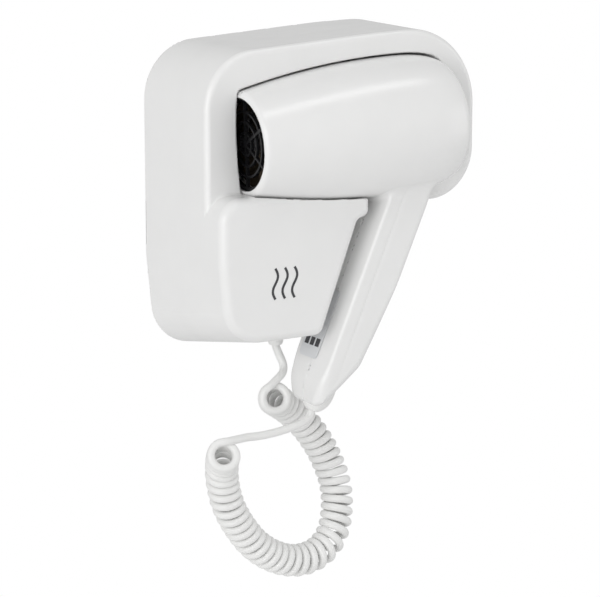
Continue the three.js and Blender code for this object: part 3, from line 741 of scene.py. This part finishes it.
BAR_ENDS = (-13.2, -8.6)  # along the label, from its centre
BAR_SPACING = 5.4
BAR_HALF_WIDTH = 2
LABEL_TOP = GAP + 0.35  # the label's outer face, above the handle's
marks = ribbons(
    "label_marks",
    [[(dy, end) for end in BAR_ENDS] for dy in (-BAR_SPACING, 0, BAR_SPACING)],
    BAR_HALF_WIDTH,
    from_handset(np.array([LABEL_AT + off_face * LABEL_TOP]))[0],
    ((0, 1, 0), turned_with_handset(up_face), turned_with_handset(off_face)),
    0.05,
)
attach(marks, "handset")

# ------------------------------------------------------------------ materials


def material(
    name, colour, roughness, metallic=0.0, tint=0.02, patch=40, grain=1500, bump=0.02, spread=0.06, **extra
):
    """A moulded or metal surface: slow colour drift, uneven gloss and a fine grain."""
    made = bpy.data.materials.new(name)
    made.use_nodes = True
    nodes, links = made.node_tree.nodes, made.node_tree.links
    shader = nodes["Principled BSDF"]
    shader.inputs["Metallic"].default_value = metallic
    for key, value in extra.items():
        shader.inputs[key.replace("_", " ").title().replace("Ior", "IOR")].default_value = value
    place = nodes.new("ShaderNodeTexCoord")
    slow = nodes.new("ShaderNodeTexNoise")
    slow.inputs["Scale"].default_value = patch
    slow.inputs["Detail"].default_value = 3
    ramp = nodes.new("ShaderNodeValToRGB")
    ramp.color_ramp.elements[0].position = 0.3
    ramp.color_ramp.elements[1].position = 0.7
    ramp.color_ramp.elements[0].color = [max(0, c * (1 - tint)) for c in colour] + [1]
    ramp.color_ramp.elements[1].color = [min(1, c * (1 + tint * 0.5)) for c in colour] + [1]
    gloss = nodes.new("ShaderNodeMapRange")
    gloss.inputs["To Min"].default_value = max(0.02, roughness - spread)
    gloss.inputs["To Max"].default_value = roughness + spread
    fine = nodes.new("ShaderNodeTexNoise")
    fine.inputs["Scale"].default_value = grain
    fine.inputs["Detail"].default_value = 2
    raised = nodes.new("ShaderNodeBump")
    raised.inputs["Strength"].default_value = bump
    raised.inputs["Distance"].default_value = 0.0004
    links.new(place.outputs["Object"], slow.inputs["Vector"])
    links.new(place.outputs["Object"], fine.inputs["Vector"])
    links.new(slow.outputs["Fac"], ramp.inputs["Fac"])
    links.new(ramp.outputs["Color"], shader.inputs["Base Color"])
    links.new(slow.outputs["Fac"], gloss.inputs["Value"])
    links.new(gloss.outputs["Result"], shader.inputs["Roughness"])
    links.new(fine.outputs["Fac"], raised.inputs["Height"])
    links.new(raised.outputs["Normal"], shader.inputs["Normal"])
    return made


GLOSS_WHITE = material("gloss_white_abs", (0.86, 0.86, 0.855), 0.24, bump=0.015, tint=0.012)
SOFT_WHITE = material("white_pvc_skin", (0.86, 0.86, 0.85), 0.38, bump=0.05, grain=900, tint=0.02)
GREY = material("grey_moulding", (0.56, 0.57, 0.58), 0.5, bump=0.12, grain=1200, tint=0.04)
BLACK = material("black_nylon_skin", (0.006, 0.006, 0.007), 0.42, bump=0.1, grain=1200, tint=0.1)
CREAM = material("cream_polyamide_skin", (0.75, 0.72, 0.64), 0.5, bump=0.1, tint=0.04)
# Mica board colour, darkened well below real amber mica so the heater inside the barrel shows as black:
# painted shade over the board's own brown.
MICA_PAINTED_DARK_FOR_SHADE = material("mica_board_painted_shade", (0.11, 0.085, 0.055), 0.6, bump=0.3, grain=500, tint=0.18, patch=150)
STEEL = material(
    "zinc_plated_steel", (0.56, 0.57, 0.58), 0.34, metallic=1, bump=0.08, grain=900, tint=0.06, spread=0.1
)
WIRE = material("heating_wire", (0.33, 0.32, 0.33), 0.45, metallic=1, bump=0.1, tint=0.1)
RED = material("red_silicone", (0.4, 0.02, 0.015), 0.5, bump=0.06, tint=0.06)
FOIL = material("blank_foil", (0.7, 0.71, 0.725), 0.36, bump=0.06, grain=700, tint=0.04, spread=0.04)
INK = material("grey_print", (0.05, 0.05, 0.055), 0.5, bump=0.1, tint=0.1)
BY_SLOT = {
    "white_abs": GLOSS_WHITE,
    "grey_abs": GREY,
    "black_nylon": BLACK,
    "white_pvc": SOFT_WHITE,
    "cream_polyamide": CREAM,
    "mica": MICA_PAINTED_DARK_FOR_SHADE,
    "steel": STEEL,
    "heater_wire": WIRE,
    "red_wire": RED,
    "label_foil": FOIL,
}


def paint(piece, look):
    piece.data.materials.clear()
    piece.data.materials.append(look)


for part in frame["record"]["subparts"]:
    node = frame["nodes"][part["node"]]
    for holder_slot in node.material_slots:
        holder_slot.material = BY_SLOT[part["material_slot"]]
for piece in (holder_cover, front, rear):
    paint(piece, GLOSS_WHITE)
for piece in (cord, boot, grommet):
    paint(piece, SOFT_WHITE)
for piece in (symbol, marks):
    paint(piece, INK)

# ------------------------------------------------------------------ floor, light and world

FLOOR_Z = -0.42


def add_floor():
    mesh = bpy.data.meshes.new("floor")
    half = 6.0
    corners = [(-half, -half, 0), (half, -half, 0), (half, half, 0), (-half, half, 0)]
    mesh.from_pydata(corners, [], [(0, 1, 2, 3)])
    floor = bpy.data.objects.new("floor", mesh)
    floor.location.z = FLOOR_Z
    bpy.context.collection.objects.link(floor)
    look = material("pale_floor", (0.9, 0.9, 0.9), 0.7, bump=0.02, tint=0.01, patch=2, grain=60)
    nodes, links = look.node_tree.nodes, look.node_tree.links
    seen = nodes.new("ShaderNodeLightPath")
    glow = nodes.new("ShaderNodeEmission")
    mix = nodes.new("ShaderNodeMixShader")
    links.new(seen.outputs["Is Camera Ray"], mix.inputs["Fac"])
    links.new(nodes["Principled BSDF"].outputs["BSDF"], mix.inputs[1])
    links.new(glow.outputs["Emission"], mix.inputs[2])
    links.new(mix.outputs["Shader"], nodes["Material Output"].inputs["Surface"])
    paint(floor, look)


def add_light(name, place, aim, size, power, height=None):
    data = bpy.data.lights.new(name, "AREA")
    data.shape = "RECTANGLE" if height else "SQUARE"
    data.size = size
    if height:
        data.size_y = height
    data.energy = power
    light = bpy.data.objects.new(name, data)
    light.location = place
    light.rotation_mode = "QUATERNION"
    light.rotation_quaternion = (Vector(aim) - Vector(place)).to_track_quat("-Z", "Y")
    bpy.context.collection.objects.link(light)


def add_world():
    world = bpy.data.worlds.new("studio")
    world.use_nodes = True
    nodes, links = world.node_tree.nodes, world.node_tree.links
    nodes.clear()
    out = nodes.new("ShaderNodeOutputWorld")
    seen = nodes.new("ShaderNodeBackground")
    fill = nodes.new("ShaderNodeBackground")
    mix = nodes.new("ShaderNodeMixShader")
    path_info = nodes.new("ShaderNodeLightPath")
    seen.inputs["Color"].default_value = (1, 1, 1, 1)
    fill.inputs["Color"].default_value = (1, 1, 1, 1)
    fill.inputs["Strength"].default_value = 0.55
    links.new(path_info.outputs["Is Camera Ray"], mix.inputs["Fac"])
    links.new(fill.outputs["Background"], mix.inputs[1])
    links.new(seen.outputs["Background"], mix.inputs[2])
    links.new(mix.outputs["Shader"], out.inputs["Surface"])
    bpy.context.scene.world = world


add_floor()
add_world()
add_light("key", (-2.1, -1.35, 0.2), (0, -0.05, 0), 2.0, 30)
add_light("right_fill", (1.7, -0.9, 0.1), (0, -0.05, 0), 1.2, 5)
add_light("top_strip", (0.3, -0.6, 1.4), (0, -0.05, 0.03), 1.4, 4, 0.25)
bpy.context.scene.view_settings.view_transform = "Standard"
